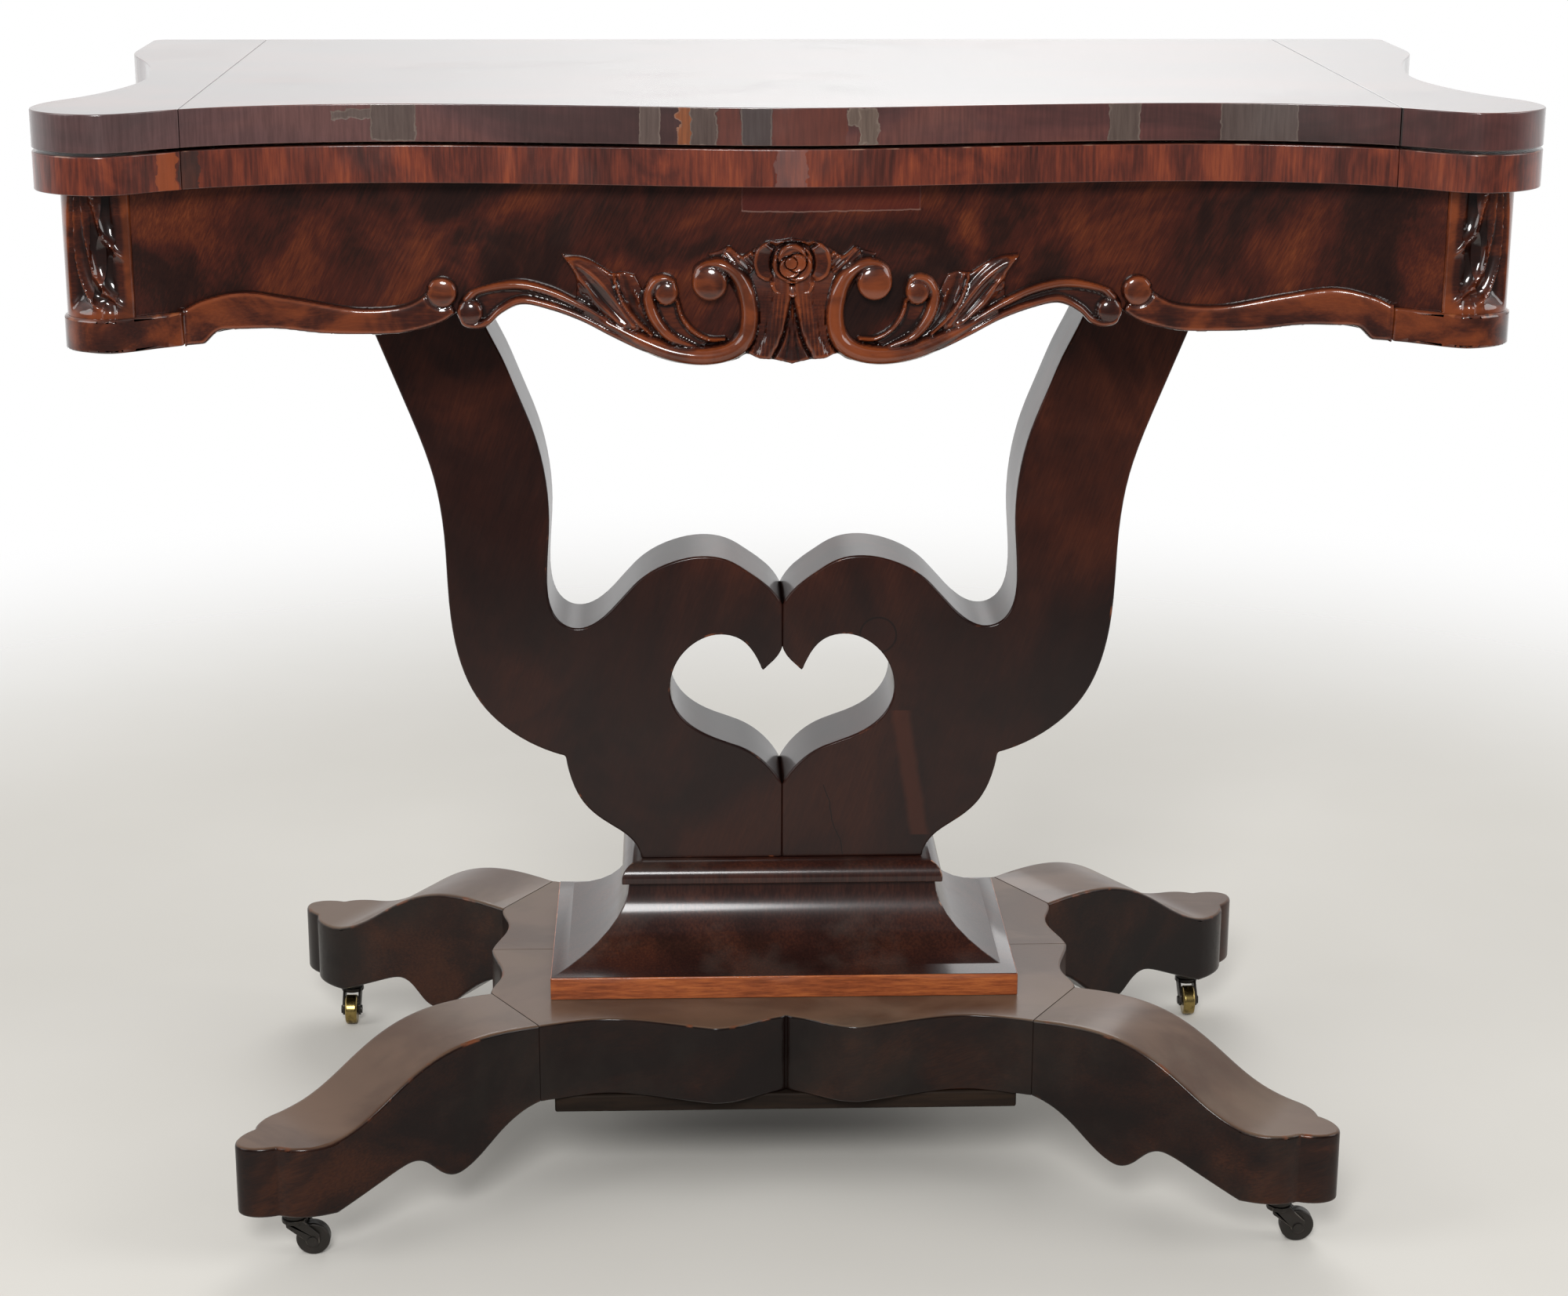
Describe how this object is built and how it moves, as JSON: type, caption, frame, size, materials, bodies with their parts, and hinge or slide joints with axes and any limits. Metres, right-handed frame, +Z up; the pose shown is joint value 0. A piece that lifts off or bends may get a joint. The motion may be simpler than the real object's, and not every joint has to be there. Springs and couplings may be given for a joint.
{
  "type": "fold-over games table",
  "caption": "Serpentine fold-over games table: turning top over a card well, carved apron, lyre pedestal, hollow plinth and scroll legs on swivel casters.",
  "frame": {"origin": "on the floor under the middle of the closed table", "axes": "+X to the right seen from the front, +Y to the back, +Z up"},
  "size_m": [0.914, 0.4569, 0.756],
  "materials": {
    "upper_leaf_veneer": "gloss",
    "lower_leaf_veneer": "gloss",
    "apron_veneer": "gloss",
    "carved_mahogany": "gloss",
    "lyre_mahogany": "gloss",
    "base_mahogany": "gloss",
    "inner_pine": "matte",
    "hinge_brass": "satin",
    "dark_iron": "satin",
    "wheel_brass": "satin",
    "screw_steel": "satin"
  },
  "bodies": {
    "base": {"front_apron": "apron_veneer", "front_beads": "carved_mahogany", "crest_carving": "carved_mahogany", "crest_rose": "carved_mahogany", "corner_post_front_left": "carved_mahogany", "corner_post_front_right": "carved_mahogany", "base_blocks": "carved_mahogany", "back_posts": "apron_veneer", "end_aprons": "apron_veneer", "end_beads": "carved_mahogany", "back_rail": "apron_veneer", "well_bottom": "inner_pine", "well_partition": "inner_pine", "pivot_rail": "inner_pine", "cross_bearers": "inner_pine", "bearer_screws": "screw_steel", "glue_blocks": "inner_pine", "lyre_left": "lyre_mahogany", "lyre_right": "lyre_mahogany", "lyre_cap": "lyre_mahogany", "plinth": "base_mahogany", "plinth_band": "base_mahogany", "platform_front": "base_mahogany", "platform_back": "base_mahogany", "platform_under_board": "inner_pine", "leg_front_left": "base_mahogany", "leg_front_right": "base_mahogany", "leg_back_left": "base_mahogany", "leg_back_right": "base_mahogany", "caster_plates": "dark_iron", "caster_screws": "screw_steel"},
    "lower_leaf": {"lower_leaf_board": "lower_leaf_veneer", "lower_leaf_left_end": "lower_leaf_veneer", "lower_leaf_right_end": "lower_leaf_veneer", "lower_hinge_plates": "hinge_brass", "lower_hinge_screws": "screw_steel", "hinge_pins": "hinge_brass", "pivot_plate": "dark_iron", "pivot_plate_screws": "screw_steel", "pivot_bolt": "dark_iron", "pivot_washer": "dark_iron", "pivot_nut": "dark_iron"},
    "upper_leaf": {"upper_leaf_board": "upper_leaf_veneer", "upper_leaf_left_end": "upper_leaf_veneer", "upper_leaf_right_end": "upper_leaf_veneer", "upper_hinge_plates": "hinge_brass", "upper_hinge_screws": "screw_steel"},
    "caster_front_left": {"caster_fork_front_left": "dark_iron", "caster_axle_front_left": "dark_iron"},
    "wheel_front_left": {"caster_wheel_front_left": "dark_iron"},
    "caster_front_right": {"caster_fork_front_right": "dark_iron", "caster_axle_front_right": "dark_iron"},
    "wheel_front_right": {"caster_wheel_front_right": "dark_iron"},
    "caster_back_left": {"caster_fork_back_left": "dark_iron", "caster_axle_back_left": "dark_iron"},
    "wheel_back_left": {"caster_wheel_back_left": "wheel_brass"},
    "caster_back_right": {"caster_fork_back_right": "dark_iron", "caster_axle_back_right": "dark_iron"},
    "wheel_back_right": {"caster_wheel_back_right": "wheel_brass"}
  },
  "joints": [
    {"name": "top_swivel", "type": "hinge", "parent": "base", "child": "lower_leaf", "pos_m": [0.11265, 0.11265, 0.7077], "axis": [0, 0, 1], "range_deg": [0, 90]},
    {"name": "leaf_fold", "type": "hinge", "parent": "lower_leaf", "child": "upper_leaf", "pos_m": [0, 0.2253, 0.732], "axis": [-1, 0, 0], "range_deg": [0, 180]},
    {"name": "caster_swivel_front_left", "type": "hinge", "parent": "base", "child": "caster_front_left", "pos_m": [-0.32886, -0.19688, 0.03], "axis": [0, 0, 1], "continuous": true},
    {"name": "wheel_spin_front_left", "type": "hinge", "parent": "caster_front_left", "child": "wheel_front_left", "pos_m": [-0.31686, -0.19688, 0.0113], "axis": [0, -1, 0], "continuous": true},
    {"name": "caster_swivel_front_right", "type": "hinge", "parent": "base", "child": "caster_front_right", "pos_m": [0.32886, -0.19688, 0.03], "axis": [0, 0, 1], "continuous": true},
    {"name": "wheel_spin_front_right", "type": "hinge", "parent": "caster_front_right", "child": "wheel_front_right", "pos_m": [0.34086, -0.19688, 0.0113], "axis": [0, -1, 0], "continuous": true},
    {"name": "caster_swivel_back_left", "type": "hinge", "parent": "base", "child": "caster_back_left", "pos_m": [-0.32886, 0.19688, 0.03], "axis": [0, 0, 1], "continuous": true},
    {"name": "wheel_spin_back_left", "type": "hinge", "parent": "caster_back_left", "child": "wheel_back_left", "pos_m": [-0.32886, 0.18488, 0.0113], "axis": [-1, 0, 0], "continuous": true},
    {"name": "caster_swivel_back_right", "type": "hinge", "parent": "base", "child": "caster_back_right", "pos_m": [0.32886, 0.19688, 0.03], "axis": [0, 0, 1], "continuous": true},
    {"name": "wheel_spin_back_right", "type": "hinge", "parent": "caster_back_right", "child": "wheel_back_right", "pos_m": [0.32886, 0.18488, 0.0113], "axis": [-1, 0, 0], "continuous": true}
  ]
}
